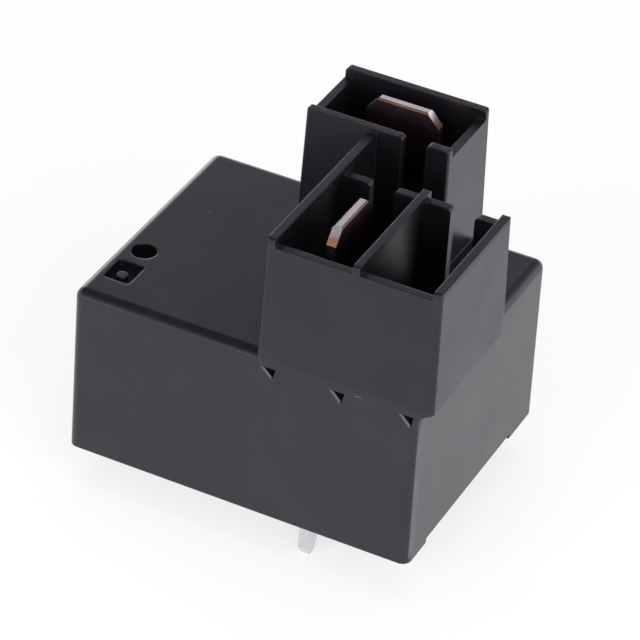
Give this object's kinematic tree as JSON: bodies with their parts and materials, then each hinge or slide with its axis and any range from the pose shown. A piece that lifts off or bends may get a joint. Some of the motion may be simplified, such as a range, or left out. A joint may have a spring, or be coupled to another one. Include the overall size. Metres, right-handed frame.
{
  "type": "pcb power relay",
  "caption": "Sealed box-shaped power relay with solder pins below, push-on tabs in a walled shroud above, and a hinged armature inside that closes the contact.",
  "frame": {"origin": "centre of the case's 30.0 x 23.5 mm outline on the board plane, on which the case's feet stand", "axes": "+Z away from the board towards the tabs, +X along the case's length from the vented end to the shrouded end, +Y towards the side with the rear pocket; the solder pins reach below the origin"},
  "size_m": [0.0312, 0.0251, 0.0302],
  "materials": {
    "case_plastic": "black moulded plastic with a fine matt grain",
    "base_plastic": "black moulded plastic",
    "seal_resin": "black cast resin, slightly glossy",
    "bobbin_plastic": "natural plastic",
    "copper_wire": "enamelled copper wire",
    "coil_tape_film": "yellow film tape",
    "soft_iron": "plated soft iron",
    "spring_bronze": "spring bronze",
    "contact_copper": "bare copper alloy",
    "contact_silver": "silver alloy",
    "tinned_copper": "tin plated copper alloy with bare cut edges",
    "rivet_copper": "copper rivet",
    "stop_steel": "plated steel strip"
  },
  "bodies": {
    "relay": {"case": "case_plastic", "base": "base_plastic", "epoxy_seal": "seal_resin", "bobbin": "bobbin_plastic", "coil_winding": "copper_wire", "coil_tape": "coil_tape_film", "core": "soft_iron", "yoke": "soft_iron", "hinge_spring": "spring_bronze", "fixed_contact": "contact_silver", "no_terminal": "tinned_copper", "com_terminal": "tinned_copper", "coil_pin_front": "tinned_copper", "coil_pin_rear": "tinned_copper", "coil_lead_front": "copper_wire", "coil_lead_rear": "copper_wire", "yoke_rivet_left": "rivet_copper", "yoke_rivet_right": "rivet_copper", "back_stop": "stop_steel"},
    "armature_assembly": {"armature": "soft_iron", "contact_arm": "contact_copper", "moving_contact": "contact_silver", "arm_rivet_left": "rivet_copper", "arm_rivet_right": "rivet_copper"}
  },
  "joints": [
    {"name": "armature_pivot", "type": "hinge", "parent": "relay", "child": "armature_assembly", "pos_m": [-0.0025, 0.00905, 0.01105], "axis": [1, 0, 0], "range_deg": [0, 4], "stiffness_Nm_per_rad": 0.02, "springref_deg": -6.88, "deforming": ["hinge_spring"]}
  ]
}
